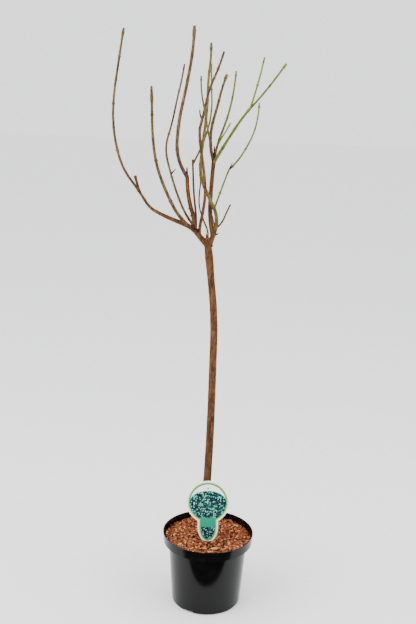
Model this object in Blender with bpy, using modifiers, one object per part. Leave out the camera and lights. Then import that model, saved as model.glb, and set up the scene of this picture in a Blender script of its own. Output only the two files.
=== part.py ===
# A small grafted tree with a bare winter crown, whole, in its round nursery pot.
# Lengths are metres, angles are degrees, +Z is up and the viewer stands at -Y.
# The origin is the centre of the pot's flat underside.

from dataclasses import dataclass
from math import acos, asin, atan2, cos, degrees, exp, pi, radians, sin

import bmesh
import bpy
import numpy as np
from mathutils import Matrix, Vector

# The clear gap that is kept between pieces that touch
GAP = 0.0003

# The pot, a thin moulded shell with a wide band under its lip
POT_HEIGHT = 0.2075
RIM_RADIUS = 0.1265
BAND_FOOT_RADIUS = 0.1245
BAND_FOOT_HEIGHT = 0.1815
BODY_TOP_RADIUS = 0.1098
SHOULDER_DROP = 0.0030
POT_FOOT_RADIUS = 0.0967
POT_FOOT_ROUNDING = 0.0050
POT_WALL = 0.0020
POT_STEPS = 48

# Four drain slots that notch the pot's foot
SLOT_COUNT = 4
SLOT_FIRST_BEARING = -31.0
SLOT_WIDTH = 0.034
SLOT_HEIGHT = 0.0055
SLOT_DEPTH = 0.020
SLOT_ROUNDING = 0.0040

# The chip mix that fills the pot to a little under its lip
SOIL_TOP = 0.1885

# The plant label, a thin card with an oval over a tongue, stuck in before the trunk
LABEL_THICKNESS = 0.0010
LABEL_FRONT_Y = -0.0231
LABEL_LEAN_BACK = 3.5
LABEL_LEAN_LEFT = 1.5
LABEL_OVAL_WIDTH = 0.1190
LABEL_OVAL_HEIGHT = 0.1250
LABEL_OVAL_MIDDLE = 0.1155
LABEL_OVAL_STEPS = 30
LABEL_TONGUE_WIDTH = 0.0570
LABEL_TONGUE_STRAIGHT = 0.0420
LABEL_TONGUE_DROP = 0.0457
LABEL_TONGUE_STEPS = 6
LABEL_SPIKE_WIDTH = 0.0180
LABEL_SPIKE_DEPTH = 0.0320
LABEL_SPIKE_POINT = 0.0060
LABEL_HOLE_RADIUS = 0.0022
LABEL_HOLE_HEIGHT = 0.1560
LABEL_SLOT_WIDTH = 0.0260

# The trunk, from a flat cut at the top of the mix up to the fork
TRUNK_FOOT_X = -0.0110
TRUNK_LENGTH = 0.853
TRUNK_LEANS = (0, 2, 1, 0, 0, -7, -7)
TRUNK_FOOT_WIDTH = 0.0222
TRUNK_TOP_WIDTH = 0.0178
FLARE_WIDTH = 0.0072
FLARE_HEIGHT = 0.016
FLARE_RINGS = (0.006, 0.013)
UNION_WIDTH = 0.0028
UNION_HEIGHT = 0.800
UNION_SPREAD = 0.030
TRUNK_SIDES = 12
TRUNK_RING_SPACING = 0.028

# How finely a limb is walked, how often it gets a ring of corners, and of how many
WALK_STEP = 0.003
RING_SPACING = 0.021
LIMB_SIDES = 8


@dataclass(frozen=True)
class Limb:
    """A tapering limb: what carries it, how long and thick it is, and how it leans.

    It leaves its carrier's middle at foot_share of the carrier's length. Its leans,
    from plumb towards +X, and its backs, from plumb towards +Y, are degrees at even
    shares of its own length, with a smooth turn from each to the next.
    """
    name: str
    carrier: str
    foot_share: float
    length: float
    foot_width: float
    tip_width: float
    leans: tuple
    backs: tuple
    bark: str


# The limbs, each after the one that carries it, and thick ones before thin
LIMBS = (
    Limb("left_bough", "trunk", 0.98, 0.204, 0.0150, 0.0066,
         (-46, -39, -69, -68, -63, -31), (-2, -6, 4), "old_bark"),
    Limb("right_bough", "trunk", 0.97, 0.059, 0.0140, 0.0115, (15, 20, 10), (4,), "old_bark"),
    Limb("tall_shoot_lower", "left_bough", 0.27, 0.142, 0.0108, 0.0096,
         (4, -18, -9, -1), (-8,), "old_bark"),
    Limb("tall_shoot_upper", "tall_shoot_lower", 1.00, 0.374, 0.0086, 0.0066,
         (-37, 2, 12, 9, 0), (-8, -4), "young_bark"),
    Limb("far_left_shoot", "left_bough", 1.00, 0.445, 0.0062, 0.0052,
         (-34, -39, -18, -8, 2, 8, 8, 9), (6, 4, 0), "young_bark"),
    Limb("far_left_stub", "far_left_shoot", 0.05, 0.048, 0.0056, 0.0062,
         (-20, -11), (-16,), "old_bark"),
    Limb("outer_left_shoot", "left_bough", 0.34, 0.391, 0.0086, 0.0052,
         (-48, -26, -20, -7, -1, -2), (-22, -16, -10), "young_bark"),
    Limb("brown_shoot_lower", "left_bough", 0.17, 0.283, 0.0076, 0.0062,
         (0, 11, 5, -5, -9, -10, 1), (-14, -10, -8), "old_bark"),
    Limb("brown_shoot_upper", "brown_shoot_lower", 1.00, 0.206, 0.0060, 0.0044,
         (14, 10, 23, 15), (-24, -20), "young_bark"),
    Limb("mid_left_shoot", "tall_shoot_lower", 0.07, 0.443, 0.0060, 0.0041,
         (-44, -26, -20, -16, 16, 10, 12, 7), (20, 18, 10), "young_bark"),
    Limb("inner_left_lower", "left_bough", 0.24, 0.184, 0.0050, 0.0044,
         (3, -9, -4, -3), (12, 8), "old_bark"),
    Limb("inner_left_upper", "inner_left_lower", 0.94, 0.277, 0.0043, 0.0037,
         (29, 17, -4, -1), (24, 20), "young_bark"),
    Limb("thin_centre_shoot", "trunk", 1.00, 0.170, 0.0042, 0.0028,
         (9, -26, -21, -2, 7, -16), (10, 6), "old_bark"),
    Limb("right_stem", "right_bough", 0.61, 0.192, 0.0110, 0.0100,
         (-16, -5, 2, 3, 5), (10, 8), "old_bark"),
    Limb("olive_shoot", "right_bough", 0.88, 0.477, 0.0090, 0.0050,
         (18, -27, -25, 3, 6, 5, -1, 6, -3), (-6, 4, 8, 8), "young_bark"),
    Limb("right_inner_shoot", "right_stem", 0.99, 0.228, 0.0080, 0.0052,
         (-20, -1, 15, 12, 20), (-8, -12), "young_bark"),
    Limb("right_branch", "right_stem", 0.98, 0.174, 0.0080, 0.0052,
         (29, 29, 31, 38), (-16, -18), "young_bark"),
    Limb("right_branch_outer", "right_branch", 1.00, 0.145, 0.0047, 0.0042,
         (41, 35, 33), (-22,), "young_bark"),
    Limb("right_branch_inner", "right_branch", 1.00, 0.126, 0.0040, 0.0035,
         (16, 14, 10), (2,), "young_bark"),
    Limb("right_mid_shoot", "right_stem", 1.00, 0.242, 0.0060, 0.0042,
         (8, 21, 11, 3), (20, 16), "young_bark"),
    Limb("small_right_shoot", "right_mid_shoot", 0.17, 0.068, 0.0036, 0.0030,
         (25, 31, 24), (-8,), "young_bark"),
    Limb("right_dead_stub", "right_stem", 0.99, 0.041, 0.0044, 0.0026,
         (2, -2), (-14,), "dead_wood"),
    Limb("pale_centre_shoot", "right_inner_shoot", 0.18, 0.195, 0.0042, 0.0035,
         (-12, -13, -12, 0), (30, 24), "young_bark"),
    Limb("right_outer_lower", "olive_shoot", 0.12, 0.112, 0.0042, 0.0038,
         (20, 19, 22), (22,), "young_bark"),
    Limb("right_outer_upper", "right_outer_lower", 1.00, 0.193, 0.0042, 0.0036,
         (49, 33, 25, 10, 1), (14, 16), "young_bark"),
    Limb("right_spur", "right_bough", 0.93, 0.080, 0.0044, 0.0034,
         (53, 19, 24), (-14,), "old_bark"),
)

# Colours as the eye sees them, and how rough each surface is
FINISHES = {
    "pot_plastic": ("18181A", 0.30),
    "bark_chips": ("8E5233", 0.90),
    "label_card": ("3FA98B", 0.45),
    "old_bark": ("8A6138", 0.80),
    "young_bark": ("7F7A3C", 0.65),
    "dead_wood": ("2A1D16", 0.90),
}


def clear_scene():
    """Remove every object that the file opened with."""
    for thing in list(bpy.data.objects):
        bpy.data.objects.remove(thing, do_unlink=True)


def new_collection(name):
    """Make a collection in the scene."""
    collection = bpy.data.collections.new(name)
    bpy.context.scene.collection.children.link(collection)
    return collection


def linear(hex_colour):
    """Turn an sRGB hex colour into Blender's linear red, green and blue."""
    shares = [int(hex_colour[i:i + 2], 16) / 255 for i in (0, 2, 4)]
    return [s / 12.92 if s <= 0.04045 else ((s + 0.055) / 1.055) ** 2.4 for s in shares]


def make_finishes():
    """Make a Principled material for each kind of surface."""
    made = {}
    for name, (hex_colour, roughness) in FINISHES.items():
        material = bpy.data.materials.new(name)
        material.use_nodes = True
        shader = material.node_tree.nodes["Principled BSDF"]
        shader.inputs["Base Color"].default_value = (*linear(hex_colour), 1)
        shader.inputs["Roughness"].default_value = roughness
        shader.inputs["Metallic"].default_value = 0
        made[name] = material
    return made


def place(name, data, collection, finish=None):
    """Make an object from mesh or curve data, in a collection and with a material."""
    thing = bpy.data.objects.new(name, data)
    collection.objects.link(thing)
    if finish is not None:
        data.materials.append(finish)
    return thing


def as_cutter(thing):
    """Mark an object as a guide that only shapes other pieces."""
    thing.hide_render = True
    thing.display_type = "WIRE"
    return thing


def cut(thing, cutter):
    """Take a cutter's shape away from an object."""
    boolean = thing.modifiers.new("clear_of_" + cutter.name, "BOOLEAN")
    boolean.operation = "DIFFERENCE"
    boolean.solver = "EXACT"
    boolean.object = cutter


def pot_outline():
    """The pot's outer side from its lip to the middle of its underside."""
    lip = (RIM_RADIUS, POT_HEIGHT)
    band_foot = (BAND_FOOT_RADIUS, BAND_FOOT_HEIGHT)
    shoulder = (BODY_TOP_RADIUS, BAND_FOOT_HEIGHT - SHOULDER_DROP)
    outline = [lip, band_foot, shoulder]
    side_slope = degrees(atan2(BODY_TOP_RADIUS - POT_FOOT_RADIUS, shoulder[1]))
    for share in (0, 1 / 3, 2 / 3, 1):
        angle = radians(-side_slope - share * (90 - side_slope))
        outline.append((POT_FOOT_RADIUS - POT_FOOT_ROUNDING * (1 - cos(angle)),
                        POT_FOOT_ROUNDING * (1 + sin(angle))))
    outline.append((0, 0))
    return outline


def inset(outline, distance):
    """Move an outline that runs down its outer side inwards by a distance."""
    moved = []
    for i, point in enumerate(outline):
        before = Vector(outline[max(i - 1, 0)])
        after = Vector(outline[min(i + 1, len(outline) - 1)])
        here = Vector(point)
        runs = [run.normalized() for run in (here - before, after - here) if run.length > 0]
        inward = sum((Vector((run.y, -run.x)) for run in runs), Vector((0, 0))).normalized()
        reach = distance / inward.dot(Vector((runs[0].y, -runs[0].x)))
        moved.append(here + inward * reach)
    return [(max(point.x, 0), point.y) for point in moved]


def turned(name, outline, collection, finish):
    """Turn an outline round the Z axis into an object."""
    mesh = bpy.data.meshes.new(name)
    points = [(radius, 0, height) for radius, height in outline]
    mesh.from_pydata(points, [(i, i + 1) for i in range(len(points) - 1)], [])
    thing = place(name, mesh, collection, finish)
    screw = thing.modifiers.new("turn", "SCREW")
    screw.steps = POT_STEPS
    screw.render_steps = POT_STEPS
    screw.use_merge_vertices = True
    screw.merge_threshold = 0.00005
    return thing


def block_cutter(name, middle, edges, cutters):
    """A block round a middle point, from the three edges that lead across it."""
    bpy.ops.mesh.primitive_cube_add(size=1)
    block = bpy.context.object
    block.name = name
    for holder in list(block.users_collection):
        holder.objects.unlink(block)
    cutters.objects.link(block)
    for vertex in block.data.vertices:
        shares = vertex.co.copy()
        vertex.co = middle + sum((edge * share for edge, share in zip(edges, shares)), Vector())
    return as_cutter(block)


def slot_cutter(index, cutters):
    """A rounded block across the pot's foot, for one drain slot."""
    bearing = radians(SLOT_FIRST_BEARING + index * 360 / SLOT_COUNT)
    outward = Vector((cos(bearing), sin(bearing), 0))
    along = Vector((-sin(bearing), cos(bearing), 0))
    middle = outward * (POT_FOOT_RADIUS - SLOT_DEPTH / 2 + POT_WALL)
    edges = (outward * SLOT_DEPTH, along * SLOT_WIDTH, Vector((0, 0, 2 * SLOT_HEIGHT)))
    block = block_cutter(f"slot_{index + 1}", middle, edges, cutters)
    rounding = block.modifiers.new("rounding", "BEVEL")
    rounding.width = SLOT_ROUNDING
    rounding.segments = 3
    return block


def make_pot(collection, cutters, finish):
    """The thin shell of the pot, with its drain slots cut."""
    pot = turned("pot", pot_outline(), collection, finish)
    wall = pot.modifiers.new("wall", "SOLIDIFY")
    wall.thickness = POT_WALL
    wall.offset = -1
    wall.use_even_offset = True
    for index in range(SLOT_COUNT):
        cut(pot, slot_cutter(index, cutters))
    return pot


def label_frame():
    """The label's middle at the mix's top, and its upward and sideways directions."""
    lean = radians(LABEL_LEAN_BACK)
    left = radians(LABEL_LEAN_LEFT)
    upright = Vector((0, sin(lean), cos(lean)))
    across = Vector((1, 0, 0))
    up = upright * cos(left) - across * sin(left)
    side = across * cos(left) + upright * sin(left)
    return Vector((0, LABEL_FRONT_Y + LABEL_THICKNESS / 2, SOIL_TOP)), side, up


def make_soil(collection, cutters, finish):
    """The chip mix: the pot's inside, with a gap, up to its flat top."""
    sides = inset(pot_outline(), POT_WALL + GAP)
    (lip_radius, lip_height), (band_radius, band_height) = sides[:2]
    share = (SOIL_TOP - band_height) / (lip_height - band_height)
    edge_radius = band_radius + share * (lip_radius - band_radius)
    soil = turned("soil", [(0, SOIL_TOP), (edge_radius, SOIL_TOP), *sides[1:]], collection, finish)
    middle, side, up = label_frame()
    edges = (side * LABEL_SLOT_WIDTH, up.cross(side) * (LABEL_THICKNESS + 2 * GAP),
             up * (2 * LABEL_SPIKE_DEPTH + 2 * GAP))
    cut(soil, block_cutter("label_slot", middle, edges, cutters))
    return soil


def label_outline():
    """The label's outline on its own plane, round the oval and down and up the tongue."""
    half_width = LABEL_OVAL_WIDTH / 2
    half_height = LABEL_OVAL_HEIGHT / 2
    half_tongue = LABEL_TONGUE_WIDTH / 2
    half_spike = LABEL_SPIKE_WIDTH / 2
    waist = asin(half_tongue / half_width) - pi / 2
    outline = []
    for angle in np.linspace(waist, pi - waist, LABEL_OVAL_STEPS + 1):
        outline.append((half_width * cos(angle), LABEL_OVAL_MIDDLE + half_height * sin(angle)))
    left_side = []
    for angle in np.linspace(0, acos(half_spike / half_tongue), LABEL_TONGUE_STEPS + 1):
        height = LABEL_TONGUE_STRAIGHT - LABEL_TONGUE_DROP * sin(angle)
        left_side.append((-half_tongue * cos(angle), height))
    left_side.append((-LABEL_SPIKE_POINT / 2, -LABEL_SPIKE_DEPTH))
    right_side = [(-x, y) for x, y in reversed(left_side)]
    return outline + left_side + right_side


def make_label(collection, finish):
    """The card itself, a flat outline with a punched hole, leant back to the trunk."""
    curve = bpy.data.curves.new("label", "CURVE")
    curve.dimensions = "2D"
    curve.fill_mode = "BOTH"
    curve.extrude = LABEL_THICKNESS / 2
    hole = [(LABEL_HOLE_RADIUS * cos(i * pi / 6), LABEL_HOLE_HEIGHT + LABEL_HOLE_RADIUS * sin(i * pi / 6))
            for i in range(12)]
    for outline in (label_outline(), hole):
        spline = curve.splines.new("POLY")
        spline.points.add(len(outline) - 1)
        for point, (x, y) in zip(spline.points, outline):
            point.co = (x, y, 0, 1)
        spline.use_cyclic_u = True
    label = place("label", curve, collection, finish)
    middle, side, up = label_frame()
    facing = side.cross(up)
    turn = Matrix((side, up, facing)).transposed()
    label.matrix_world = Matrix.Translation(middle) @ turn.to_4x4()
    return label


def walk(foot, length, leans, backs):
    """Points along a limb that starts at its foot and turns smoothly through its leans."""
    steps = max(6, round(length / WALK_STEP))
    points = [Vector(foot)]
    for i in range(steps):
        share = (i + 0.5) / steps
        lean = radians(np.interp(share, np.linspace(0, 1, len(leans)), leans))
        back = radians(np.interp(share, np.linspace(0, 1, len(backs)), backs))
        heading = Vector((sin(lean) * cos(back), sin(back), cos(lean) * cos(back)))
        points.append(points[-1] + heading * (length / steps))
    return points


def point_at(points, share):
    """The point that lies at a share of a limb's length."""
    place_on = share * (len(points) - 1)
    index = min(int(place_on), len(points) - 2)
    return points[index].lerp(points[index + 1], place_on - index)


def rings(points, length, spacing):
    """Evenly spaced points of a walked limb, one for each ring of corners."""
    count = max(4, round(length / spacing))
    return [point_at(points, i / count) for i in range(count + 1)]


def trunk_radius(share):
    """The trunk's radius: an even taper, a root flare and the swelling at the graft."""
    height = share * TRUNK_LENGTH
    width = TRUNK_FOOT_WIDTH + share * (TRUNK_TOP_WIDTH - TRUNK_FOOT_WIDTH)
    width += FLARE_WIDTH * exp(-height / FLARE_HEIGHT)
    width += UNION_WIDTH * exp(-((height - UNION_HEIGHT) / UNION_SPREAD) ** 2)
    return width / 2


def tube(name, points, radii, sides, collection):
    """A closed tube through points, with its own radius at each, made a mesh."""
    curve = bpy.data.curves.new(name, "CURVE")
    curve.dimensions = "3D"
    curve.bevel_depth = 1
    curve.bevel_resolution = (sides - 4) // 2
    curve.use_fill_caps = True
    spline = curve.splines.new("POLY")
    spline.points.add(len(points) - 1)
    for corner, point, radius in zip(spline.points, points, radii):
        corner.co = (*point, 1)
        corner.radius = radius
    guide = place(name, curve, collection)
    bpy.context.view_layer.update()
    evaluated = guide.evaluated_get(bpy.context.evaluated_depsgraph_get())
    mesh = bpy.data.meshes.new_from_object(evaluated)
    bpy.data.objects.remove(guide)
    bpy.data.curves.remove(curve)
    shape = bmesh.new()
    shape.from_mesh(mesh)
    bmesh.ops.remove_doubles(shape, verts=shape.verts, dist=0.00001)
    shape.to_mesh(mesh)
    shape.free()
    mesh.shade_smooth()
    mesh.set_sharp_from_angle(angle=radians(40))
    mesh.name = name
    return place(name, mesh, collection)


def clearance(name, points, radii, sides, cutters):
    """A tube one gap larger all round, which clears other limbs of this one."""
    first = (points[0] - points[1]).normalized() * GAP
    last = (points[-1] - points[-2]).normalized() * GAP
    longer = [points[0] + first, *points[1:-1], points[-1] + last]
    wider = [radius + GAP / cos(pi / sides) for radius in radii]
    return as_cutter(tube("clear_" + name, longer, wider, sides, cutters))


def meet(path, radius, other_path, other_radius):
    """Whether two walked limbs, at their thickest, come within the gap of each other."""
    apart = np.array(path)[:, None] - np.array(other_path)[None]
    nearest = np.sqrt((apart ** 2).sum(axis=2)).min()
    return nearest < radius + other_radius + WALK_STEP / 2 + GAP


def grow(collection, cutters, finishes):
    """The trunk and then every limb, each cut clear of what it grows from and beside."""
    foot = Vector((TRUNK_FOOT_X, 0, SOIL_TOP + GAP))
    walked = {"trunk": walk(foot, TRUNK_LENGTH, TRUNK_LEANS, (0,))}
    points = rings(walked["trunk"], TRUNK_LENGTH, TRUNK_RING_SPACING)
    radii = [trunk_radius(i / (len(points) - 1)) for i in range(len(points))]
    points[1:1] = [point_at(walked["trunk"], share) for share in FLARE_RINGS]
    radii[1:1] = [trunk_radius(share) for share in FLARE_RINGS]
    trunk = tube("trunk", points, radii, TRUNK_SIDES, collection)
    trunk.data.materials.append(finishes["old_bark"])
    grown = {"trunk": (points, radii, TRUNK_SIDES)}
    thickest = {"trunk": trunk_radius(UNION_HEIGHT / TRUNK_LENGTH)}
    for limb in LIMBS:
        start = point_at(walked[limb.carrier], limb.foot_share)
        path = walk(start, limb.length, limb.leans, limb.backs)
        points = rings(path, limb.length, RING_SPACING)
        taper = np.linspace(limb.foot_width / 2, limb.tip_width / 2, len(points))
        radii = [float(radius) for radius in taper]
        piece = tube(limb.name, points, radii, LIMB_SIDES, collection)
        piece.data.materials.append(finishes[limb.bark])
        for name, (other_points, other_radii, sides) in grown.items():
            if meet(path, max(radii), walked[name], thickest[name]):
                cutter = bpy.data.objects.get("clear_" + name)
                if cutter is None:
                    cutter = clearance(name, other_points, other_radii, sides, cutters)
                cut(piece, cutter)
        walked[limb.name] = path
        thickest[limb.name] = max(radii)
        grown[limb.name] = (points, radii, LIMB_SIDES)


def main():
    """Build the pot, its mix and label, and the tree."""
    clear_scene()
    collection = new_collection("potted_tree")
    cutters = new_collection("cutters")
    finishes = make_finishes()
    make_pot(collection, cutters, finishes["pot_plastic"])
    make_soil(collection, cutters, finishes["bark_chips"])
    make_label(collection, finishes["label_card"])
    grow(collection, cutters, finishes)


main()
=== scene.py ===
# %% [markdown]
# # A grafted standard tree in its nursery pot, in winter
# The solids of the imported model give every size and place. This file gives them their looks: bark,
# moulded plastic, a printed card and loose bark chips. First come the tools and the frame.

# %% Tools and the frame
from math import asin, cos, exp, pi, radians, sin

import bmesh
import bpy
import numpy as np
from mathutils import Matrix, Vector, noise


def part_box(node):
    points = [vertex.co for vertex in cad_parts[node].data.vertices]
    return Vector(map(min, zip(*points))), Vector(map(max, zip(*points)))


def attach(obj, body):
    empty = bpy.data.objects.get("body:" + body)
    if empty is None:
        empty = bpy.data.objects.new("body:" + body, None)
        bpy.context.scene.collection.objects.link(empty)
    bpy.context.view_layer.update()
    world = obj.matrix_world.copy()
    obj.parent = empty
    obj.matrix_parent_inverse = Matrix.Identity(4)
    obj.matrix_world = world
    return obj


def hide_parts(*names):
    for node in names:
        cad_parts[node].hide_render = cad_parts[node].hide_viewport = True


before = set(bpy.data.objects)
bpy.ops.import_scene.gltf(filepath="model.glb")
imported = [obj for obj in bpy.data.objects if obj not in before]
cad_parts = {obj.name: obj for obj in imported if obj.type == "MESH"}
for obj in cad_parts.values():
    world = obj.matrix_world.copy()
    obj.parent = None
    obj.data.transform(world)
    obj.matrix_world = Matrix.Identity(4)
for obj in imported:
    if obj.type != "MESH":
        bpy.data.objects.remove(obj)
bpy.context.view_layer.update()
MM = 0.001

# %% [markdown]
# ## The camera
# The picture was taken from a little above the crown's middle, looking down by about fifteen degrees,
# with the camera turned a touch. The lens is worked out from the focal length in pixels.

# %% Camera
PICTURE_HEIGHT_PX = 624
FOCAL_PX = 950
FILM_HEIGHT_MM = 36
CAMERA_PLACE = Vector((-0.0215, -2.42, 1.50))
CAMERA_PITCH = 15.14
CAMERA_ROLL = 2.0

view = bpy.data.cameras.new("viewpoint")
view.sensor_fit = "VERTICAL"
view.sensor_height = FILM_HEIGHT_MM
view.lens = FOCAL_PX / PICTURE_HEIGHT_PX * FILM_HEIGHT_MM
camera = bpy.data.objects.new("viewpoint", view)
bpy.context.scene.collection.objects.link(camera)
tilted = Matrix.Rotation(radians(90 - CAMERA_PITCH), 4, "X")
rolled = Matrix.Rotation(radians(CAMERA_ROLL), 4, "Z")
camera.matrix_world = Matrix.Translation(CAMERA_PLACE) @ tilted @ rolled
bpy.context.scene.camera = camera
print("lens", round(view.lens, 1), "mm")

# %% [markdown]
# ## Helpers for materials
# A colour is read as an sRGB hex value, but shaders work in linear light, so one function
# converts it. Another adds any node with its settings and links, which keeps each material short. Wood,
# card and satin plastic mirror less than a polished surface does, so each finish also says its gloss.

# %% Colour and node helpers
MATT_GLOSS = 0.2
SOFT_GLOSS = 0.25


def linear(hex_colour):
    """An sRGB hex colour as linear red, green, blue and a full alpha."""
    shares = [int(hex_colour[i:i + 2], 16) / 255 for i in (0, 2, 4)]
    return (*[s / 12.92 if s <= 0.04045 else ((s + 0.055) / 1.055) ** 2.4 for s in shares], 1)


def add(tree, kind, settings=None, inputs=None):
    """Add a node; an input is a value, or another node's output to link from."""
    node = tree.nodes.new(kind)
    for name, value in (settings or {}).items():
        setattr(node, name, value)
    for key, value in (inputs or {}).items():
        if isinstance(value, bpy.types.NodeSocket):
            tree.links.new(value, node.inputs[key])
        else:
            node.inputs[key].default_value = value
    return node


def ramp(tree, factor, stops):
    """A colour ramp from (place, hex colour) stops."""
    node = add(tree, "ShaderNodeValToRGB", inputs={"Fac": factor})
    points = node.color_ramp.elements
    while len(points) < len(stops):
        points.new(0.5)
    for point, (place, hex_colour) in zip(points, stops):
        point.position = place
        point.color = linear(hex_colour)
    return node.outputs["Color"]


def new_finish(name, roughness, gloss, ior=1.45):
    """A new material with its tree, its shader and its object coordinates."""
    material = bpy.data.materials.new(name)
    material.use_nodes = True
    tree = material.node_tree
    shader = tree.nodes["Principled BSDF"]
    shader.inputs["Roughness"].default_value = roughness
    shader.inputs["IOR"].default_value = ior
    shader.inputs["Specular IOR Level"].default_value = gloss
    spot = add(tree, "ShaderNodeTexCoord").outputs["Object"]
    return material, tree, shader, spot


def bumped(tree, shader, height, distance):
    """Feed a height into the shader's normal; the distance is in metres."""
    bump = add(tree, "ShaderNodeBump", inputs={"Height": height, "Distance": distance})
    tree.links.new(bump.outputs["Normal"], shader.inputs["Normal"])


print("helpers ready")

# %% [markdown]
# ## Bark
# Two-year wood has dry brown bark with fine lengthwise cracks. First-year shoots are smooth, olive to
# brown, with small pale pores. Both patterns are noise on object coordinates, squeezed along Z so that
# they run with the upright limbs. An attribute on each limb says how green it is. Low down, the bark's
# colour is darkened towards the trunk's foot: a painted shade for the lesser light there.

# %% Bark finishes
CRACK_WIDTH_MM = 2.6
PATCH_WIDTH_MM = 9.0
PORE_SPACING_MM = 4.5
UPRIGHT_STRETCH = 0.22
PATCH_SHARE = 0.38
PORE_SHARE = 0.45
PORE_COLOUR = "74582E"
# painted shade: between these two heights the bark's colour darkens towards the foot, down to this share of
# its value
PAINTED_SHADE_FOOT = 0.20
PAINTED_SHADE_TOP = 0.60
PAINTED_SHADE_VALUE = 0.32


def bark_finish(name, stops, green, roughness, crack_depth):
    """Bark of brown stops that turns to a green where the limb's attribute says so."""
    material, tree, shader, spot = new_finish(name, roughness, MATT_GLOSS)
    along = add(tree, "ShaderNodeMapping", inputs={
        "Vector": spot, "Scale": (1, 1, UPRIGHT_STRETCH)}).outputs["Vector"]
    cracks = add(tree, "ShaderNodeTexNoise", inputs={
        "Vector": along, "Scale": 1 / (CRACK_WIDTH_MM * MM), "Detail": 5, "Roughness": 0.62})
    patches = add(tree, "ShaderNodeTexNoise", inputs={
        "Vector": along, "Scale": 1 / (PATCH_WIDTH_MM * MM), "Detail": 3})
    blend = add(tree, "ShaderNodeMix", {"data_type": "FLOAT"}, {
        0: PATCH_SHARE, 2: cracks.outputs["Fac"], 3: patches.outputs["Fac"]})
    brown = ramp(tree, blend.outputs[0], stops)
    growth = add(tree, "ShaderNodeAttribute", {"attribute_name": "growth"}).outputs["Fac"]
    fresh = ramp(tree, cracks.outputs["Fac"], [(0.3, green[0]), (0.7, green[1])])
    skin = add(tree, "ShaderNodeMix", {"data_type": "RGBA"}, {0: growth, 6: brown, 7: fresh})
    pores = add(tree, "ShaderNodeTexVoronoi", {"feature": "F1"}, {
        "Vector": along, "Scale": 1 / (PORE_SPACING_MM * MM)}).outputs["Distance"]
    is_pore = add(tree, "ShaderNodeMapRange", inputs={
        "Value": pores, "From Min": 0.10, "From Max": 0.20, "To Min": PORE_SHARE, "To Max": 0.0})
    dotted = add(tree, "ShaderNodeMix", {"data_type": "RGBA"}, {
        0: is_pore.outputs["Result"], 6: skin.outputs[2], 7: linear(PORE_COLOUR)})
    # painted shade: the colour's value falls from full at the upper height to a share of it at the trunk's
    # foot
    height = add(tree, "ShaderNodeSeparateXYZ", inputs={"Vector": spot}).outputs["Z"]
    painted_foot_shade = add(tree, "ShaderNodeMapRange", inputs={
        "Value": height, "From Min": PAINTED_SHADE_FOOT, "From Max": PAINTED_SHADE_TOP, "To Min": PAINTED_SHADE_VALUE, "To Max": 1.0})
    darker = add(tree, "ShaderNodeHueSaturation", inputs={
        "Value": painted_foot_shade.outputs["Result"], "Color": dotted.outputs[2]})
    tree.links.new(darker.outputs["Color"], shader.inputs["Base Color"])
    bumped(tree, shader, cracks.outputs["Fac"], crack_depth * MM)
    return material


OLD_BROWNS = [(0.34, "28160A"), (0.46, "452810"), (0.55, "5C391C"), (0.68, "7E562E")]
YOUNG_BROWNS = [(0.36, "1C120A"), (0.46, "442E19"), (0.56, "624828"), (0.70, "866C46")]
DEAD_BROWNS = [(0.3, "120B07"), (0.5, "26180F"), (0.75, "40301F")]
finishes = {
    "old_bark": bark_finish("two_year_bark", OLD_BROWNS, ("38360F", "4C4A1A"), 0.78, 0.9),
    "young_bark": bark_finish("first_year_bark", YOUNG_BROWNS, ("425806", "74920E"), 0.60, 0.4),
    "dead_wood": bark_finish("dead_wood", DEAD_BROWNS, ("26180F", "32221A"), 0.90, 0.6),
}
print(len(finishes), "kinds of bark")

# %% [markdown]
# ## The limbs' rule
# A limb leaves a share of its carrier's length, and turns smoothly through its leans (towards +X) and
# backs (towards +Y). The sizes are the ones the solids were built from, so each skin follows its solid.
# Short twigs and pruning stubs grow by the same rule, and a walk in small steps turns it into points.

# %% Sizes of the limbs and twigs
TRUNK_FOOT = Vector((-0.0110, 0, 0.1888))
TRUNK_LENGTH = 0.853
TRUNK_LEANS = (0, 2, 1, 0, 0, -7, -7)
TRUNK_FOOT_WIDTH = 0.0222
TRUNK_TOP_WIDTH = 0.0178
FLARE_WIDTH = 0.0072
FLARE_HEIGHT = 0.016
UNION_WIDTH = 0.0028
UNION_HEIGHT = 0.800
UNION_SPREAD = 0.030
WALK_STEP = 0.003

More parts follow.
